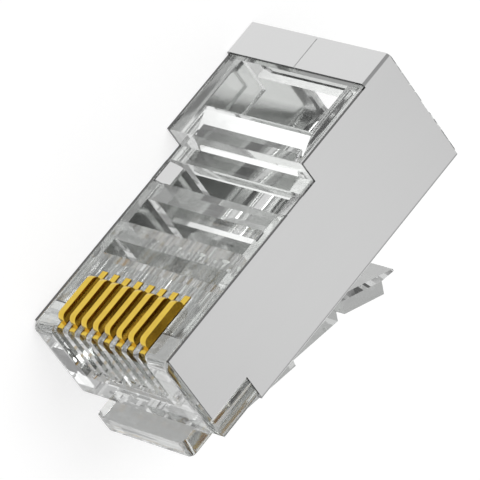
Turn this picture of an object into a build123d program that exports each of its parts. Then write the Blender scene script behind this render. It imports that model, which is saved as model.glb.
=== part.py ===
from build123d import *

import math
import os

# Shielded eight-position modular plug with a raised rear for thick cable, before it is crimped.
# It lies on one side panel: +X points out of the nose, +Y is the latch side and +Z is up.
# A place "at" is a distance behind the nose face, and a "depth" is one below the contact face.
# Side profiles are drawn with both and run across the width, centred between the side panels.

# Plug interface: width and height over the shield, as a jack takes them
plug_width = 11.68
plug_height = 6.69
body_length = 21.92
contact_count = 8
contact_pitch = 1.02

# Nose, flush with the outside of the shield behind it
collar_inset = 0.02
collar_gap = 0.04
nose_round = 0.50
nose_side_round = 0.25
lead_in_depth = 5.50
lead_in_back = 0.50

# Comb of contact slots in the nose
comb_side = 0.27
comb_recess = 0.25
comb_depth = 3.75
comb_corner = 1.00
ridge_round = 0.30

# Raised rear, cable cavity and its mouth
raise_at = 13.70
raise_height = 1.39
raise_roof = 1.30
front_roof = 0.90
cavity_ramp = 0.90
cavity_width = 8.35
cavity_depth = 5.60
cavity_round = 0.80
mouth_chamfer = 0.40
edge_round = 0.20

# Wire chamber between the cavity and the channels
chamber_at = 8.03
chamber_roof = 1.70
chamber_depth = 4.50
chamber_ramp = 1.80

# Pockets and openings in the contact face
front_pocket_at = 5.76
front_pocket_length = 1.01
front_pocket_depth = 2.07
rear_pocket_length = 1.77
rear_pocket_depth = 3.25
pocket_width = 9.86
strain_bar_length = 1.25
relief_length = 1.61
relief_width = 9.60
window_width = 9.00
window_length = 3.45
anchor_length = 2.12
anchor_bevel = 0.90

# Wire channels, in an upper and a lower row
channel_bore = 1.05
channel_at = 1.08
upper_row_depth = 2.90
row_spacing = 0.80

# Contact blades
blade_thickness = 0.46
blade_clearance = 0.05
blade_at = 0.78
blade_length = 3.80
crown_height = 0.60
crown_length = 3.20
crown_round = 0.40
foot_reach = 0.35
foot_height = 0.35
shoulder_height = 0.05
blade_body_depth = 1.30
prong_overlap = 0.20
prong_count = 3
prong_width = 0.80
prong_tip = 0.12
prong_taper = 0.75
crimp_travel = 1.10
pierce_past_axis = 0.30

# Folded shield
sheet = 0.18
shield_gap = 0.02
band_gap = 0.10
bend_inside = 0.05
shield_front_at = 0.44
shield_rear_inset = 0.15
skirt_depth = 4.81
floor_front_at = 3.54
band_at = 19.44
seam_gap = 0.06
ear_side_gap = 0.10
ear_slope = 17.0
ear_reach = 1.22

# Root block that carries the latch
root_width = 7.50
root_reach = 1.02
root_overlap = 0.61
root_corner_round = 0.40
root_edge_round = 0.12
root_back_at = 1.05
root_gap = 0.06
knuckle_radius = 0.30
knuckle_clearance = 0.04

# Latch: neck, plate with shoulders, ribbed arm and finger end
pivot_at = 1.20
neck_slope = 28.0
neck_length = 2.51
arm_slope = 11.5
plate_thickness = 0.80
latch_width = 6.10
shoulder_from_bend = 4.23
arm_width = 3.20
arm_length = 8.95
rib_height = 0.64
rib_from_bend = 1.20
rib_lean = 0.17
finger_slope = 26.0
finger_width = 4.90
finger_length = 3.00
finger_raise = 0.25
lip_length = 1.10
lip_edge = 0.10

# Places that follow from the sizes above
body_width = plug_width - 2 * (sheet + shield_gap)
body_height = plug_height - sheet - shield_gap
nose_width = plug_width - 2 * collar_inset
collar_rear_at = shield_front_at - collar_gap
rear_pocket_rear_at = chamber_at + rear_pocket_length
relief_at = rear_pocket_rear_at + strain_bar_length
relief_rear_at = relief_at + relief_length
anchor_rear_at = raise_at + anchor_length
raise_ceiling_depth = raise_roof - raise_height
row_reach = contact_pitch * (contact_count - 1) / 2
comb_width = 2 * (row_reach + blade_thickness / 2 + blade_clearance + comb_side)
slot_width = blade_thickness + 2 * blade_clearance
slot_rear_at = blade_at + blade_length + blade_clearance
shield_inner_width = plug_width - 2 * sheet
shield_rear_at = body_length - shield_rear_inset
shield_floor_depth = plug_height - sheet
band_depth = -raise_height - band_gap
root_top_depth = body_height - root_overlap
pivot_depth = body_height + root_gap + knuckle_radius

# Overrun of the cutting forms, and how near an edge lies to the place that is asked for
past = 1.0
touch = 0.01


def spot(at, depth):
    """A point of a side profile, from its place behind the nose and its depth."""
    return (-at, depth)


def slab(points, width):
    """A side profile run across the width, half to each side of the middle."""
    return extrude(make_face(Polyline(*points, close=True)), width / 2, both=True)


def block(front_at, rear_at, top_depth, low_depth, width):
    """A straight-sided block between two places and two depths."""
    corners = [
        spot(front_at, top_depth),
        spot(rear_at, top_depth),
        spot(rear_at, low_depth),
        spot(front_at, low_depth),
    ]
    return slab(corners, width)


def long_edges(shape, depth, width):
    """Edges that run front to rear at one depth, on both sides of the given width."""
    return [
        edge
        for edge in shape.edges().filter_by(Axis.X)
        if abs(edge.center().Y - depth) < touch
        and abs(abs(edge.center().Z) - width / 2) < touch
    ]


def cross_edges(shape, at, depth):
    """Edges that run across the width at one place and depth."""
    return [
        edge
        for edge in shape.edges().filter_by(Axis.Z)
        if abs(edge.center().X + at) < touch and abs(edge.center().Y - depth) < touch
    ]


def contact_z(index):
    """Height of a contact's middle plane, counted from the lower side panel."""
    return index * contact_pitch - row_reach


def row_depth(index):
    """Depth of the wire channel under a contact: upper and lower row in turn."""
    return upper_row_depth + row_spacing * (index % 2)


# Outer form of the moulding, set in behind the nose for the shield, with the root block below
def body_form():
    body = slab(
        [
            spot(0, 0),
            spot(raise_at, 0),
            spot(raise_at, -raise_height),
            spot(body_length, -raise_height),
            spot(body_length, body_height),
            spot(lead_in_back, body_height),
            spot(0, lead_in_depth),
        ],
        nose_width,
    )
    body = fillet(cross_edges(body, 0, 0), nose_round)
    nose_sides = [edge for edge in body.edges().filter_by(Axis.Y) if abs(edge.center().X) < touch]
    body = fillet(nose_sides, nose_side_round)
    strip = block(collar_rear_at, body_length + past, -raise_height - past, body_height + past, past)
    for side in (-1, 1):
        body = body - Pos(0, 0, side * (body_width + past) / 2) * strip
    rounded = long_edges(body, -raise_height, body_width) + long_edges(body, body_height, body_width)
    body = fillet(rounded, edge_round)
    return body + root_block()


# Lower rim of the root block, along its front, both front corners and its sides
def front_rim(root, low_depth):
    rear_edge = cross_edges(root, root_back_at, low_depth)
    rim = [edge for edge in root.edges() if abs(edge.center().Y - low_depth) < touch]
    return [edge for edge in rim if edge not in rear_edge]


# Block that stands ahead of the nose, hollowed behind for the latch's rounded root
def root_block():
    low_depth = pivot_depth + knuckle_radius
    root = block(-root_reach, root_back_at, root_top_depth, low_depth, root_width)
    corners = [edge for edge in root.edges().filter_by(Axis.Y) if abs(edge.center().X - root_reach) < touch]
    root = fillet(corners, root_corner_round)
    root = fillet(front_rim(root, low_depth), root_edge_round)
    seat = Cylinder(knuckle_radius + knuckle_clearance, root_width + 2 * past)
    return root - Pos(-pivot_at, pivot_depth, 0) * seat


# Front of the comb, with its two lower corners cut off
def comb_form(front_at, top_depth):
    form = block(front_at, blade_at, top_depth, comb_depth, comb_width)
    return chamfer(long_edges(form, comb_depth, comb_width), comb_corner)


# Recessed comb of contact slots, with the ridges' front edge rounded
def cut_comb(body):
    pit = comb_form(-past, -past)
    ridges = comb_form(comb_recess, 0)
    ridges = fillet(cross_edges(ridges, comb_recess, 0), ridge_round)
    body = body - pit + ridges
    for index in range(contact_count):
        slot = slab(
            [
                spot(-past, -past),
                spot(slot_rear_at, -past),
                spot(slot_rear_at, row_depth(index)),
                spot(channel_at, row_depth(index)),
                spot(channel_at, comb_depth),
                spot(-past, comb_depth),
            ],
            slot_width,
        )
        body = body - Pos(0, 0, contact_z(index)) * slot
    return body


# One wire channel under each contact, from the comb back to the chamber
def cut_channels(body):
    length = chamber_at - channel_at + past
    for index in range(contact_count):
        channel = Rot(0, 90, 0) * Cylinder(channel_bore / 2, length)
        place = Pos(-channel_at - length / 2, row_depth(index), contact_z(index))
        body = body - place * channel
    return body


# Cable cavity, narrowing through a ramp to the flat wire chamber
def cavity_form():
    cavity = slab(
        [
            spot(body_length + past, raise_ceiling_depth),
            spot(raise_at + cavity_ramp, raise_ceiling_depth),
            spot(relief_rear_at, front_roof),
            spot(relief_rear_at, chamber_roof),
            spot(chamber_at, chamber_roof),
            spot(chamber_at, chamber_depth),
            spot(relief_at, chamber_depth),
            spot(relief_at + chamber_ramp, cavity_depth),
            spot(body_length + past, cavity_depth),
        ],
        cavity_width,
    )
    rounded = long_edges(cavity, cavity_depth, cavity_width)
    return fillet(rounded, cavity_round)


# Bevelled mouth that guides the cable jacket into the cavity
def mouth_form():
    height = cavity_depth - raise_ceiling_depth
    middle = (cavity_depth + raise_ceiling_depth) / 2
    section = RectangleRounded(height, cavity_width, cavity_round)
    wide = RectangleRounded(height + 2 * mouth_chamfer, cavity_width + 2 * mouth_chamfer, cavity_round)
    turn = Rot(0, 90, 0) * Rot(0, 0, 90)
    inner = Pos(mouth_chamfer - body_length, middle, 0) * turn * section
    outer = Pos(-body_length, middle, 0) * turn * wide
    return loft([inner, outer])


# Pockets, openings and window in the contact face
def cut_openings(body):
    front_pocket_rear = front_pocket_at + front_pocket_length
    body = body - block(front_pocket_at, front_pocket_rear, -past, front_pocket_depth, pocket_width)
    body = body - block(chamber_at, rear_pocket_rear_at, -past, rear_pocket_depth, pocket_width)
    body = body - block(relief_at, relief_rear_at, -past, chamber_roof + past, relief_width)
    window_rear_at = anchor_rear_at + window_length
    body = body - block(anchor_rear_at, window_rear_at, -raise_height - past, past, window_width)
    bevel = slab(
        [
            spot(anchor_rear_at + past, raise_ceiling_depth - anchor_bevel - past),
            spot(anchor_rear_at + past, raise_ceiling_depth + past),
            spot(anchor_rear_at - anchor_bevel - past, raise_ceiling_depth + past),
        ],
        window_width,
    )
    return body - bevel


# Depth of the ear's upper side at a distance from the middle plane
def ear_line(half_width):
    return (plug_width / 2 - half_width) * math.tan(math.radians(ear_slope)) - shield_gap


# Vertical thickness of the sloping ear
def ear_drop():
    return sheet / math.cos(math.radians(ear_slope))


# Sloping seats in the rails, where the shield's ears fold in
def cut_ear_seats(body):
    for side in (-1, 1):
        outer = body_width / 2 + past
        inner = relief_width / 2 - past
        seat_points = [
            (-past, side * outer),
            (ear_line(outer) + ear_drop() + shield_gap, side * outer),
            (ear_line(inner) + ear_drop() + shield_gap, side * inner),
            (-past, side * inner),
        ]
        body = body - across(seat_points, relief_at, relief_length)
    return body


# A profile drawn across the plug as depth and height, run towards the rear
def across(points, front_at, length):
    plane = Plane(origin=(-front_at, 0, 0), x_dir=(0, 1, 0), z_dir=(-1, 0, 0))
    flipped = [(depth, -height) for depth, height in points]
    return extrude(plane * make_face(Polyline(*flipped, close=True)), length)


# The clear moulding
def make_housing():
    body = body_form()
    body = cut_comb(body)
    body = cut_channels(body)
    body = cut_openings(body)
    body = cut_ear_seats(body)
    body = body - cavity_form()
    body = body - mouth_form()
    return body


# One contact blade: crown, front foot, rear shoulder and piercing prongs
def make_contact(index):
    rear_at = blade_at + blade_length
    crown_rear_at = blade_at + crown_length
    plate = slab(
        [
            spot(blade_at, -crown_height),
            spot(crown_rear_at, -crown_height),
            spot(crown_rear_at, -shoulder_height),
            spot(rear_at, -shoulder_height),
            spot(rear_at, blade_body_depth),
            spot(blade_at, blade_body_depth),
            spot(blade_at, foot_height),
            spot(blade_at - foot_reach, foot_height),
            spot(blade_at - foot_reach, 0),
            spot(blade_at, 0),
        ],
        blade_thickness,
    )
    plate = fillet(cross_edges(plate, blade_at, -crown_height), crown_round)
    plate = fillet(cross_edges(plate, crown_rear_at, -crown_height), crown_round)
    tip_depth = row_depth(index) + pierce_past_axis - crimp_travel
    spacing = blade_length / prong_count
    for prong in range(prong_count):
        middle = blade_at + spacing * (prong + 0.5)
        plate = plate + slab(
            [
                spot(middle - prong_width / 2, blade_body_depth - prong_overlap),
                spot(middle + prong_width / 2, blade_body_depth - prong_overlap),
                spot(middle + prong_width / 2, tip_depth - prong_taper),
                spot(middle + prong_tip / 2, tip_depth),
                spot(middle - prong_tip / 2, tip_depth),
                spot(middle - prong_width / 2, tip_depth - prong_taper),
            ],
            blade_thickness,
        )
    return Pos(0, 0, contact_z(index)) * plate


# Side panels, latch-side panel and rear band, folded from one sheet
def make_shield():
    outer = slab(
        [
            spot(shield_front_at, 0),
            spot(raise_at, 0),
            spot(raise_at, -raise_height),
            spot(band_at, -raise_height),
            spot(band_at, band_depth - sheet),
            spot(shield_rear_at, band_depth - sheet),
            spot(shield_rear_at, shield_floor_depth + sheet),
            spot(floor_front_at, shield_floor_depth + sheet),
            spot(floor_front_at, skirt_depth),
            spot(shield_front_at, skirt_depth),
        ],
        plug_width,
    )
    bends = long_edges(outer, band_depth - sheet, plug_width)
    bends = bends + long_edges(outer, shield_floor_depth + sheet, plug_width)
    outer = fillet(bends, bend_inside + sheet)
    inner = slab(
        [
            spot(-past, -raise_height - 2 * past),
            spot(band_at, -raise_height - 2 * past),
            spot(band_at, band_depth),
            spot(body_length + past, band_depth),
            spot(body_length + past, shield_floor_depth),
            spot(-past, shield_floor_depth),
        ],
        shield_inner_width,
    )
    bends = long_edges(inner, band_depth, shield_inner_width)
    bends = bends + long_edges(inner, shield_floor_depth, shield_inner_width)
    inner = fillet(bends, bend_inside)
    seam = block(band_at - past, shield_rear_at + past, band_depth - sheet - past, 0, seam_gap)
    shield = outer - inner - seam
    for side in (-1, 1):
        shield = shield + make_ear(side)
    return shield


# Ear folded over the rail and down into the opening of the contact face
def make_ear(side):
    outer = plug_width / 2
    inner = shield_inner_width / 2
    tip = outer - ear_reach
    root_depth = ear_line(inner) + ear_drop() + sheet
    ear = across(
        [
            (root_depth, side * outer),
            (ear_line(outer), side * outer),
            (ear_line(tip), side * tip),
            (ear_line(tip) + ear_drop(), side * tip),
            (ear_line(inner) + ear_drop(), side * inner),
            (root_depth, side * inner),
        ],
        relief_at + ear_side_gap,
        relief_length - 2 * ear_side_gap,
    )
    return ear


# Finger end of the latch, drawn straight back, with bevelled sides and a thin lip
def finger_form():
    half = plate_thickness / 2
    top = -half - finger_raise
    full_length = finger_length + lip_length
    side_view = slab(
        [
            (0, top),
            (-full_length, top),
            (-full_length, top + lip_edge),
            (-finger_length, -half),
            (-finger_length, half),
            (0, half),
        ],
        finger_width,
    )
    outer = finger_width / 2
    inner = outer - finger_raise
    section = [(top, -inner), (top, inner), (-half, outer), (half, outer), (half, -outer), (-half, -outer)]
    return side_view & across(section, 0, full_length)


# Plate with its two shoulders and the ribbed arm behind them, drawn straight back
def arm_form():
    half = plate_thickness / 2
    rib_low = half + rib_height
    plate = slab(
        [(0, -half), (-shoulder_from_bend, -half), (-shoulder_from_bend, half), (0, half)],
        latch_width,
    )
    arm = slab(
        [
            (0, -half),
            (-arm_length - half, -half),
            (-arm_length - half, half),
            (-arm_length, half),
            (rib_lean - arm_length, rib_low),
            (-rib_from_bend - rib_height, rib_low),
            (-rib_from_bend, half),
            (0, half),
        ],
        arm_width,
    )
    return Cylinder(half, latch_width) + plate + arm


# Latch in its free position: neck, arm and finger, each turned down from the one before
def make_latch():
    half = plate_thickness / 2
    neck = slab(
        [(0, -knuckle_radius), (-neck_length, -half), (-neck_length, half), (0, knuckle_radius)],
        latch_width,
    )
    neck_place = Pos(-pivot_at, pivot_depth, 0) * Rot(0, 0, -neck_slope)
    arm_place = neck_place * Pos(-neck_length, 0, 0) * Rot(0, 0, neck_slope - arm_slope)
    finger_place = arm_place * Pos(-arm_length, 0, 0) * Rot(0, 0, arm_slope - finger_slope)
    latch = neck_place * (Cylinder(knuckle_radius, latch_width) + neck)
    return latch + arm_place * arm_form() + finger_place * finger_form()


# Every piece, laid on the lower side panel with the origin under the middle of the plug
pieces = {"housing": make_housing(), "shield": make_shield(), "latch": make_latch()}
for index in range(contact_count):
    pieces[f"contact_{index + 1}"] = make_contact(index)

whole = Compound(list(pieces.values())).bounding_box()
rest = Pos(-whole.center().X, -whole.center().Y, -whole.min.Z)

os.makedirs("parts", exist_ok=True)
for name, piece in pieces.items():
    placed = rest * piece
    placed.label = name
    export_step(placed, f"parts/{name}.step")

print("whole size", whole.size)
print("origin shift", rest.position)
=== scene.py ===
import math

import bmesh
import bpy
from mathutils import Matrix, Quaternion, Vector

bl_info = {
    "name": "Shielded modular plug",
    "version": (1, 0, 0),
    "blender": (4, 5, 0),
    "location": "View3D > Sidebar > Plug",
    "description": "Finishes the clear moulding, shield and contacts of a modular plug",
    "category": "Object",
}

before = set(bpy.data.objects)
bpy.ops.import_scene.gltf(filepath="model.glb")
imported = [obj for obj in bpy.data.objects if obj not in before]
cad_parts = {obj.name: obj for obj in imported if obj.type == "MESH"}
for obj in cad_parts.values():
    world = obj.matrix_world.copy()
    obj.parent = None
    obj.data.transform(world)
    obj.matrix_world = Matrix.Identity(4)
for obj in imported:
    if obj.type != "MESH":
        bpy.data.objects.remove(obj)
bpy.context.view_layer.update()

MM = 0.001
CLEAR_NODES = ("housing", "latch")
CONTACT_COUNT = 8

# The fine rounded edge of a piece
WELD_GAP = 0.001 * MM
EDGE_SEGMENTS = 2
EDGE_ANGLE = math.radians(40)

# Places in the object's own coordinates, in metres; -Y is towards the contact face
SHIELD_MIDDLE = (0, -0.0022, 0.00584)
SHIELD_ENDS = (-0.0115, 0.0115)
RIM_TOP = -0.0064
RIM_LOW = -0.00485
# Heights over which the painted glow inside the plastic goes from light to dark
INNER_HEIGHTS = (0.0045, 0.0072)
CARD_EDGES = (-0.008, -0.001)

# Each pattern's waves for each metre, its detail and its stretch along the three axes
EVEN = (1, 1, 1)
HAZE_PATTERN = (900, 2, EVEN)
FLOW_PATTERN = (500, 1, (0.4, 1, 1))
TONE_PATTERN = (300, 3, (0.3, 1, 1))
GRAIN_PATTERN = (9000, 2, (0.04, 1, 1))
THIN_PATTERN = (2500, 3, EVEN)
WEAR_PATTERN = (1800, 3, EVEN)
STAMP_PATTERN = (12000, 2, (1, 0.1, 1))

# The middle range of a noise pattern, and the share by which stamping changes the roughness of gold
NOISE_MARKS = (0.3, 0.7)
STAMP_CHANGE = 0.3

# The least share of its normal that a face square across an axis has along it
SQUARE = 0.8

# Bounces after which light inside the plastic ends in a painted grey glow, and the bounces that the stage
# allows, because shield and plastic mirror each other many times
LONG_PATH = 10
BOUNCES = 24

# Cosines at the rim and in the middle of the sky's bright patch
SKY_PATCH = (0.9, 1.0)

WHITE = (1, 1, 1, 1)
SENSOR_WIDTH = 36

# Named inputs of the Principled BSDF
COLOUR = "Base Color"
ROUGHNESS = "Roughness"
METALLIC = "Metallic"
IOR = "IOR"
TRANSMISSION = "Transmission Weight"
SPECULAR = "Specular IOR Level"
NORMAL = "Normal"


# Nodes


def new_material(name):
    """A new node material, with its node tree and its Principled BSDF."""
    material = bpy.data.materials.new(name)
    material.use_nodes = True
    tree = material.node_tree
    return material, tree, tree.nodes["Principled BSDF"]


def feed(tree, socket, value):
    """Joins a painted value to a socket, or sets a plain one on it."""
    if isinstance(value, bpy.types.NodeSocket):
        tree.links.new(value, socket)
    else:
        socket.default_value = value


def add_node(tree, kind, **inputs):
    """A node of one kind, with a plain or painted value for each input that is named."""
    node = tree.nodes.new(kind)
    for name, value in inputs.items():
        feed(tree, node.inputs[name.replace("_", " ")], value)
    return node


def math_node(tree, operation, first, second=0):
    """The outcome of one operation on two values, each plain or painted."""
    node = tree.nodes.new("ShaderNodeMath")
    node.operation = operation
    feed(tree, node.inputs[0], first)
    feed(tree, node.inputs[1], second)
    return node.outputs["Value"]


def vector_math(tree, operation, first, second, result="Vector"):
    """The outcome of one operation on two vectors, each plain or painted."""
    node = tree.nodes.new("ShaderNodeVectorMath")
    node.operation = operation
    feed(tree, node.inputs[0], first)
    feed(tree, node.inputs[1], second)
    return node.outputs[result]


def map_range(tree, value, marks, low, high):
    """A value brought from between two marks to between a low and a high level."""
    ramp = add_node(
        tree,
        "ShaderNodeMapRange",
        Value=value,
        From_Min=marks[0],
        From_Max=marks[1],
        To_Min=low,
        To_Max=high,
    )
    return ramp.outputs["Result"]


def mix_values(tree, test, without, within):
    """One value where the test is nought and the other where it is one."""
    node = add_node(tree, "ShaderNodeMix", Factor=test, A=without, B=within)
    return node.outputs["Result"]


def mix_colours(tree, test, without, within):
    """One colour where the test is nought and the other where it is one, each plain or painted."""
    node = tree.nodes.new("ShaderNodeMix")
    node.data_type = "RGBA"
    feed(tree, node.inputs["Factor"], test)
    for name, colour in (("A", without), ("B", within)):
        painted = isinstance(colour, bpy.types.NodeSocket)
        feed(tree, node.inputs[name], colour if painted else (*colour, 1))
    return node.outputs["Result"]


def show_either(tree, test, without, within):
    """Shows one shader where the test is nought and the other where it is one."""
    pick = tree.nodes.new("ShaderNodeMixShader")
    feed(tree, pick.inputs["Fac"], test)
    feed(tree, pick.inputs[1], without.outputs[0])
    feed(tree, pick.inputs[2], within.outputs[0])
    feed(tree, tree.nodes["Material Output"].inputs["Surface"], pick.outputs[0])


# Patterns and masks


def add_noise(tree, scale, detail, stretch):
    """A soft noise pattern that stays put on the piece, scale in waves for each metre."""
    coordinates = tree.nodes.new("ShaderNodeTexCoord")
    mapping = add_node(tree, "ShaderNodeMapping", Vector=coordinates.outputs["Object"], Scale=stretch)
    place = mapping.outputs["Vector"]
    noise = add_node(tree, "ShaderNodeTexNoise", Vector=place, Scale=scale, Detail=detail)
    return noise.outputs["Fac"]


def spread(tree, pattern, low, high):
    """A noise pattern brought from its middle range to a low and a high value."""
    return map_range(tree, pattern, NOISE_MARKS, low, high)


def add_bump(tree, shader, height, distance):
    """Fine relief on a surface, distance in metres."""
    bump = add_node(tree, "ShaderNodeBump", Height=height, Distance=distance, Strength=1)
    tree.links.new(bump.outputs["Normal"], shader.inputs[NORMAL])


def axis_value(tree, source, axis):
    """One axis of a point's place on the piece, with Object as source, or of its normal, with Normal."""
    coordinates = tree.nodes.new("ShaderNodeTexCoord")
    split = tree.nodes.new("ShaderNodeSeparateXYZ")
    tree.links.new(coordinates.outputs[source], split.inputs[0])
    return split.outputs[axis]


def level_along(tree, axis, ends, low, high):
    """A value that goes from one level to another between two places along an axis."""
    return map_range(tree, axis_value(tree, "Object", axis), ends, low, high)


def flat_mask(tree, axis):
    """One on the faces that lie square across an axis and nought elsewhere."""
    steep = math_node(tree, "ABSOLUTE", axis_value(tree, "Normal", axis))
    return math_node(tree, "GREATER_THAN", steep, SQUARE)


def rim_mask(tree):
    """One on the sheared upper rims of the side panels, between the rear band and the ears."""
    place = axis_value(tree, "Object", "Y")
    below_band = math_node(tree, "GREATER_THAN", place, RIM_TOP)
    above_ears = math_node(tree, "LESS_THAN", place, RIM_LOW)
    between = math_node(tree, "MULTIPLY", below_band, above_ears)
    return math_node(tree, "MULTIPLY", flat_mask(tree, "Y"), between)


def inner_mask(tree):
    """One on the faces of the shield that look inwards and nought on the others."""
    coordinates = tree.nodes.new("ShaderNodeTexCoord")
    place = vector_math(tree, "SUBTRACT", coordinates.outputs["Object"], SHIELD_MIDDLE)
    across = vector_math(tree, "MULTIPLY", place, (0, 1, 1))
    normal = coordinates.outputs["Normal"]
    outward = vector_math(tree, "DOT_PRODUCT", across, normal, "Value")
    return math_node(tree, "LESS_THAN", outward, 0)


def ray_level(tree, lit, mirrored, through, seen):
    """A level for each kind of ray: lighting, mirrored, through clear plastic, and the camera's own."""
    path = tree.nodes.new("ShaderNodeLightPath")
    level = mix_values(tree, path.outputs["Is Glossy Ray"], lit, mirrored)
    level = mix_values(tree, path.outputs["Is Transmission Ray"], level, through)
    return mix_values(tree, path.outputs["Is Camera Ray"], level, seen)


# Materials


def clear_plastic(settings):
    """Clear moulded polycarbonate with faint flow waves in its skin."""
    material, tree, shader = new_material("clear_polycarbonate")
    shader.inputs[COLOUR].default_value = (*settings.tint, 1)
    shader.inputs[IOR].default_value = settings.ior
    shader.inputs[TRANSMISSION].default_value = 1
    haze = add_noise(tree, *HAZE_PATTERN)
    tree.links.new(spread(tree, haze, 0, settings.haze), shader.inputs[ROUGHNESS])
    add_bump(tree, shader, add_noise(tree, *FLOW_PATTERN), settings.flow_depth * MM)
    end_long_paths(tree, shader, settings.inner_light, settings.inner_dark)
    return material


def end_long_paths(tree, shader, light, dark):
    """Ends light that has long bounced about inside in a painted grey glow, lighter near the floor and
    darker above.
    """
    path = tree.nodes.new("ShaderNodeLightPath")
    late = math_node(tree, "GREATER_THAN", path.outputs["Ray Depth"], LONG_PATH)
    grey = level_along(tree, "Z", INNER_HEIGHTS, light, dark)
    show_either(tree, late, shader, add_node(tree, "ShaderNodeEmission", Strength=grey))


def plated_sheet(settings):
    """Satin nickel plate over thin sheet, with a lengthwise grain, a slight swell, inner faces painted
    brighter as a painted highlight, and sheared ends darkened near black, partly painted shade.
    """
    material, tree, shader = new_material("satin_nickel_plate")
    shader.inputs[METALLIC].default_value = 1
    dull = [level * (1 - settings.mottle) for level in settings.colour]
    outside = mix_colours(tree, add_noise(tree, *TONE_PATTERN), dull, settings.colour)
    # Painted highlight: the inner faces get a brighter copy of the plating colour
    plated = mix_colours(tree, inner_mask(tree), outside, settings.inside)
    # Sheared ends and upper rims darkened near black: partly the cut metal, partly painted shade along the
    # edges
    sheared = math_node(tree, "MAXIMUM", flat_mask(tree, "X"), rim_mask(tree))
    tree.links.new(mix_colours(tree, sheared, plated, settings.shaded_cut_edge), shader.inputs[COLOUR])
    low = settings.roughness - settings.grain
    high = settings.roughness + settings.grain
    grain = add_noise(tree, *GRAIN_PATTERN)
    tree.links.new(spread(tree, grain, low, high), shader.inputs[ROUGHNESS])
    along = level_along(tree, "X", SHIELD_ENDS, -1, 1)
    swell = math_node(tree, "SUBTRACT", 1, math_node(tree, "MULTIPLY", along, along))
    add_bump(tree, shader, swell, settings.bow * MM)
    return material


def gold_plate(settings):
    """Gold over stamped blades, a little redder where it is thin, with painted shade in dark brown on their
    flat sides, where they face each other across the gaps.
    """
    material, tree, shader = new_material("gold_plate")
    shader.inputs[METALLIC].default_value = 1
    thin = add_noise(tree, *THIN_PATTERN)
    wear = add_noise(tree, *WEAR_PATTERN)
    plated = mix_colours(tree, thin, settings.thin_colour, settings.colour)
    # Flat sides in dark brown with lighter random patches: painted shade between the blades
    side = mix_colours(tree, wear, settings.side_shade_colour, settings.side_shade_wear)
    tree.links.new(mix_colours(tree, flat_mask(tree, "Z"), plated, side), shader.inputs[COLOUR])
    low = settings.roughness * (1 - STAMP_CHANGE)
    high = settings.roughness * (1 + STAMP_CHANGE)
    stamp = add_noise(tree, *STAMP_PATTERN)
    tree.links.new(spread(tree, stamp, low, high), shader.inputs[ROUGHNESS])
    return material


def pale_floor(settings):
    """Pale matt floor that keeps the plug's shadow, and a glow that metal and plastic show instead."""
    material, tree, shader = new_material("pale_floor")
    shader.inputs[COLOUR].default_value = (*settings.floor_colour, 1)
    shader.inputs[ROUGHNESS].default_value = 1
    shader.inputs[SPECULAR].default_value = 0
    through = level_along(tree, "Y", CARD_EDGES, settings.floor_through, settings.floor_card)
    level = ray_level(tree, 0, settings.floor_mirrored, through, settings.floor_lift)
    glow = add_node(tree, "ShaderNodeEmission", Strength=level)
    both = tree.nodes.new("ShaderNodeAddShader")
    tree.links.new(shader.outputs[0], both.inputs[0])
    tree.links.new(glow.outputs[0], both.inputs[1])
    path = tree.nodes.new("ShaderNodeLightPath")
    show_either(tree, path.outputs["Is Camera Ray"], glow, both)
    return material


# Pieces


def clothe(name, material, edge_width):
    """Gives a CAD node its material and, where it has a width, a fine rounded edge."""
    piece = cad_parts[name]
    piece.data.materials.clear()
    piece.data.materials.append(material)
    if edge_width > 0:
        weld = piece.modifiers.new("merge", "WELD")
        weld.merge_threshold = WELD_GAP
        edge = piece.modifiers.new("edge", "BEVEL")
        edge.width = edge_width * MM
        edge.segments = EDGE_SEGMENTS
        edge.limit_method = "ANGLE"
        edge.angle_limit = EDGE_ANGLE
    return piece


# Stage


def add_floor(settings):
    """A level floor under the plug."""
    mesh = bpy.data.meshes.new("floor")
    form = bmesh.new()
    bmesh.ops.create_grid(form, x_segments=1, y_segments=1, size=settings.floor_size / 2)
    form.to_mesh(mesh)
    form.free()
    floor = bpy.data.objects.new("floor", mesh)
    bpy.context.scene.collection.objects.link(floor)
    mesh.materials.append(pale_floor(settings))


def add_world(settings):
    """White for the camera, an even light, and for metal and plastic a sky with one bright patch."""
    world = bpy.data.worlds.new("studio")
    bpy.context.scene.world = world
    world.use_nodes = True
    tree = world.node_tree
    back = tree.nodes["Background"]
    coordinates = tree.nodes.new("ShaderNodeTexCoord")
    direction = coordinates.outputs["Generated"]
    brightest = Vector(settings.sky_towards).normalized()
    facing = vector_math(tree, "DOT_PRODUCT", direction, brightest, "Value")
    sky = map_range(tree, facing, SKY_PATCH, settings.sky_low, settings.sky_high)
    back.inputs["Color"].default_value = WHITE
    tree.links.new(ray_level(tree, settings.sky_even, sky, sky, 1), back.inputs["Strength"])


def add_lamp(settings):
    """A square soft lamp that faces the plug. Metal mirrors the sky in its place, which doesn't clip."""
    light = bpy.data.lights.new("key", "AREA")
    light.size = settings.lamp_size
    light.energy = settings.lamp_power
    lamp = bpy.data.objects.new("key", light)
    place = Vector(settings.lamp_place)
    lamp.location = place
    lamp.rotation_mode = "QUATERNION"
    lamp.rotation_quaternion = (-place).to_track_quat("-Z", "Y")
    lamp.visible_glossy = False
    bpy.context.scene.collection.objects.link(lamp)


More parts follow.
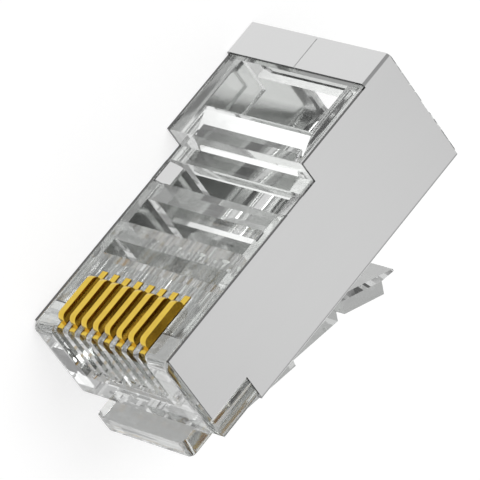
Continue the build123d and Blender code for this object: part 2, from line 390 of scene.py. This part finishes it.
def add_camera(settings):
    """The camera at the photograph's viewing angle."""
    azimuth = math.radians(settings.azimuth)
    elevation = math.radians(settings.elevation)
    view = Vector(
        (
            -math.sin(azimuth) * math.cos(elevation),
            math.cos(azimuth) * math.cos(elevation),
            -math.sin(elevation),
        )
    )
    lens = bpy.data.cameras.new("camera")
    lens.lens = settings.lens
    lens.sensor_width = SENSOR_WIDTH
    camera = bpy.data.objects.new("camera", lens)
    camera.location = (Vector(settings.aim) - view * settings.distance) * MM
    camera.rotation_mode = "QUATERNION"
    turn = Quaternion((0, 0, 1), math.radians(settings.roll))
    camera.rotation_quaternion = view.to_track_quat("-Z", "Y") @ turn
    bpy.context.scene.collection.objects.link(camera)
    bpy.context.scene.camera = camera


# Settings


class MouldingSettings(bpy.types.PropertyGroup):
    """The clear plastic of the housing and latch"""

    tint: bpy.props.FloatVectorProperty(
        name="Tint",
        description="Colour of the clear plastic",
        subtype="COLOR",
        default=(0.84, 0.85, 0.84),
    )
    ior: bpy.props.FloatProperty(
        name="IOR",
        description="Bending of light in the plastic",
        default=1.585,
    )
    haze: bpy.props.FloatProperty(
        name="Haze",
        description="Roughness of the haziest patches of its skin",
        default=0.01,
    )
    flow_depth: bpy.props.FloatProperty(
        name="Flow depth",
        description="Height of the flow waves in millimetres",
        default=0.0008,
    )
    # The grey that ends long paths is a painted glow: painted light near the floor, painted shade near the
    # upper side
    inner_light: bpy.props.FloatProperty(
        name="Inner light",
        description="Grey that long paths of light end in near the floor",
        default=0.7,
    )
    inner_dark: bpy.props.FloatProperty(
        name="Inner dark",
        description="Grey that long paths of light end in near the upper side",
        default=0.1,
    )
    edge: bpy.props.FloatProperty(
        name="Edge",
        description="Edge rounding in millimetres",
        default=0.015,
    )


class ShieldSettings(bpy.types.PropertyGroup):
    """The plated sheet of the shield"""

    colour: bpy.props.FloatVectorProperty(
        name="Colour",
        description="Colour of the plating",
        subtype="COLOR",
        default=(0.64, 0.64, 0.64),
    )
    # Brighter copy of the plating for the inner faces: a painted highlight
    inside: bpy.props.FloatVectorProperty(
        name="Inside",
        description="Colour of the brighter inner faces",
        subtype="COLOR",
        default=(0.88, 0.88, 0.88),
    )
    # Near-black colour of the sheared ends and rims: partly the cut metal, partly painted shade
    shaded_cut_edge: bpy.props.FloatVectorProperty(
        name="Cut edge",
        description="Colour of the sheared ends",
        subtype="COLOR",
        default=(0.12, 0.12, 0.12),
    )
    mottle: bpy.props.FloatProperty(
        name="Mottle",
        description="Share by which the tone varies",
        default=0.03,
    )
    roughness: bpy.props.FloatProperty(
        name="Roughness",
        description="Blur of its reflections",
        default=0.14,
    )
    grain: bpy.props.FloatProperty(
        name="Grain",
        description="Change of roughness in the grain",
        default=0.02,
    )
    bow: bpy.props.FloatProperty(
        name="Bow",
        description="Swell of the sheet over its length, in millimetres",
        default=0.4,
    )
    edge: bpy.props.FloatProperty(
        name="Edge",
        description="Edge rounding in millimetres",
        default=0.0,
    )


class ContactSettings(bpy.types.PropertyGroup):
    """The gold of the contact blades"""

    colour: bpy.props.FloatVectorProperty(
        name="Colour",
        description="Colour of the gold",
        subtype="COLOR",
        default=(0.74, 0.53, 0.075),
    )
    thin_colour: bpy.props.FloatVectorProperty(
        name="Thin colour",
        description="Colour where the plating is thin",
        subtype="COLOR",
        default=(0.60, 0.40, 0.06),
    )
    # Dark brown of the flat sides, painted shade between the blades
    side_shade_colour: bpy.props.FloatVectorProperty(
        name="Side colour",
        description="Colour of the blades' flat sides",
        subtype="COLOR",
        default=(0.46, 0.23, 0.02),
    )
    # Lighter random patches within the painted shade of the flat sides
    side_shade_wear: bpy.props.FloatVectorProperty(
        name="Side wear",
        description="Lighter patches of the flat sides",
        subtype="COLOR",
        default=(0.58, 0.36, 0.04),
    )
    roughness: bpy.props.FloatProperty(
        name="Roughness",
        description="Blur of its reflections",
        default=0.16,
    )
    edge: bpy.props.FloatProperty(
        name="Edge",
        description="Edge rounding in millimetres",
        default=0.025,
    )


class StageSettings(bpy.types.PropertyGroup):
    """The floor, sky, lamp and camera"""

    floor_colour: bpy.props.FloatVectorProperty(
        name="Floor",
        description="Colour of the floor",
        subtype="COLOR",
        default=(0.4, 0.4, 0.4),
    )
    floor_lift: bpy.props.FloatProperty(
        name="Lift",
        description="White added to the floor that the camera sees",
        default=0.74,
    )
    floor_mirrored: bpy.props.FloatProperty(
        name="Floor in metal",
        description="Brightness of the floor that metal mirrors",
        default=1.08,
    )
    floor_through: bpy.props.FloatProperty(
        name="Floor in plastic",
        description="Brightness of the floor in front of the plug, seen through plastic",
        default=1.3,
    )
    floor_card: bpy.props.FloatProperty(
        name="Card",
        description="Brightness of the floor behind the plug, seen through plastic",
        default=0.45,
    )
    floor_size: bpy.props.FloatProperty(
        name="Floor size",
        description="Side of the square floor",
        unit="LENGTH",
        default=1.2,
    )
    sky_towards: bpy.props.FloatVectorProperty(
        name="Sky towards",
        description="Direction of the brightest sky",
        subtype="XYZ",
        default=(-0.36, 0.5, 0.77),
    )
    sky_high: bpy.props.FloatProperty(
        name="Sky high",
        description="Brightest sky",
        default=1.0,
    )
    sky_low: bpy.props.FloatProperty(
        name="Sky low",
        description="Darkest sky",
        default=0.45,
    )
    sky_even: bpy.props.FloatProperty(
        name="Sky even",
        description="Sky that lights the matt floor",
        default=0.5,
    )
    lamp_place: bpy.props.FloatVectorProperty(
        name="Lamp place",
        description="Middle of the soft lamp",
        subtype="TRANSLATION",
        default=(-0.12, -0.16, 0.42),
    )
    lamp_size: bpy.props.FloatProperty(
        name="Lamp size",
        description="Side of the square lamp",
        unit="LENGTH",
        default=0.20,
    )
    lamp_power: bpy.props.FloatProperty(
        name="Lamp power",
        description="Power of the lamp",
        unit="POWER",
        default=0.6,
    )
    azimuth: bpy.props.FloatProperty(
        name="Azimuth",
        description="Camera azimuth in degrees",
        default=30.14,
    )
    elevation: bpy.props.FloatProperty(
        name="Elevation",
        description="Camera elevation in degrees",
        default=48.18,
    )
    roll: bpy.props.FloatProperty(
        name="Roll",
        description="Camera roll in degrees",
        default=105.77,
    )
    aim: bpy.props.FloatVectorProperty(
        name="Aim",
        description="Point in the middle of the picture, in millimetres",
        subtype="XYZ",
        default=(-0.19, -1.859, 5.84),
    )
    distance: bpy.props.FloatProperty(
        name="Distance",
        description="From the camera to the aim, in millimetres",
        default=287.45,
    )
    lens: bpy.props.FloatProperty(
        name="Lens",
        description="Focal length in millimetres",
        default=390.65,
    )


# Operators and panel


class PLUG_OT_moulding(bpy.types.Operator):
    """Clear plastic on the housing and its latch"""

    bl_idname = "plug.moulding"
    bl_label = "Finish the clear moulding"

    def execute(self, context):
        settings = context.scene.plug_moulding
        material = clear_plastic(settings)
        for name in CLEAR_NODES:
            piece = clothe(name, material, settings.edge)
        return {"FINISHED"}


class PLUG_OT_shield(bpy.types.Operator):
    """Satin plating on the folded shield"""

    bl_idname = "plug.shield"
    bl_label = "Finish the shield"

    def execute(self, context):
        settings = context.scene.plug_shield
        piece = clothe("shield", plated_sheet(settings), settings.edge)
        return {"FINISHED"}


class PLUG_OT_contacts(bpy.types.Operator):
    """Gold plating on the eight contact blades"""

    bl_idname = "plug.contacts"
    bl_label = "Finish the contacts"

    def execute(self, context):
        settings = context.scene.plug_contacts
        material = gold_plate(settings)
        for index in range(CONTACT_COUNT):
            piece = clothe(f"contact_{index + 1}", material, settings.edge)
        return {"FINISHED"}


class PLUG_OT_stage(bpy.types.Operator):
    """Pale floor, soft studio light and the camera"""

    bl_idname = "plug.stage"
    bl_label = "Set the stage"

    def execute(self, context):
        settings = context.scene.plug_stage
        add_floor(settings)
        add_world(settings)
        add_lamp(settings)
        add_camera(settings)
        context.scene.view_settings.view_transform = "Standard"
        context.scene.cycles.max_bounces = BOUNCES
        context.scene.cycles.glossy_bounces = BOUNCES
        context.scene.cycles.transmission_bounces = BOUNCES
        return {"FINISHED"}


class PLUG_PT_panel(bpy.types.Panel):
    """The plug's finishing steps"""

    bl_idname = "PLUG_PT_panel"
    bl_label = "Modular plug"
    bl_space_type = "VIEW_3D"
    bl_region_type = "UI"
    bl_category = "Plug"

    def draw(self, context):
        for operator in OPERATORS:
            self.layout.operator(operator.bl_idname)


GROUPS = {
    "plug_moulding": MouldingSettings,
    "plug_shield": ShieldSettings,
    "plug_contacts": ContactSettings,
    "plug_stage": StageSettings,
}
OPERATORS = (PLUG_OT_moulding, PLUG_OT_shield, PLUG_OT_contacts, PLUG_OT_stage)


def register():
    """Adds the settings, operators and panel."""
    for name, group in GROUPS.items():
        bpy.utils.register_class(group)
        setattr(bpy.types.Scene, name, bpy.props.PointerProperty(type=group))
    for operator in OPERATORS:
        bpy.utils.register_class(operator)
    bpy.utils.register_class(PLUG_PT_panel)


def unregister():
    """Takes the panel, operators and settings away again."""
    bpy.utils.unregister_class(PLUG_PT_panel)
    for operator in reversed(OPERATORS):
        bpy.utils.unregister_class(operator)
    for name, group in GROUPS.items():
        delattr(bpy.types.Scene, name)
        bpy.utils.unregister_class(group)


def main():
    """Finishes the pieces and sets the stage."""
    register()
    bpy.ops.plug.moulding()
    bpy.ops.plug.shield()
    bpy.ops.plug.contacts()
    bpy.ops.plug.stage()


if __name__ == "__main__":
    main()
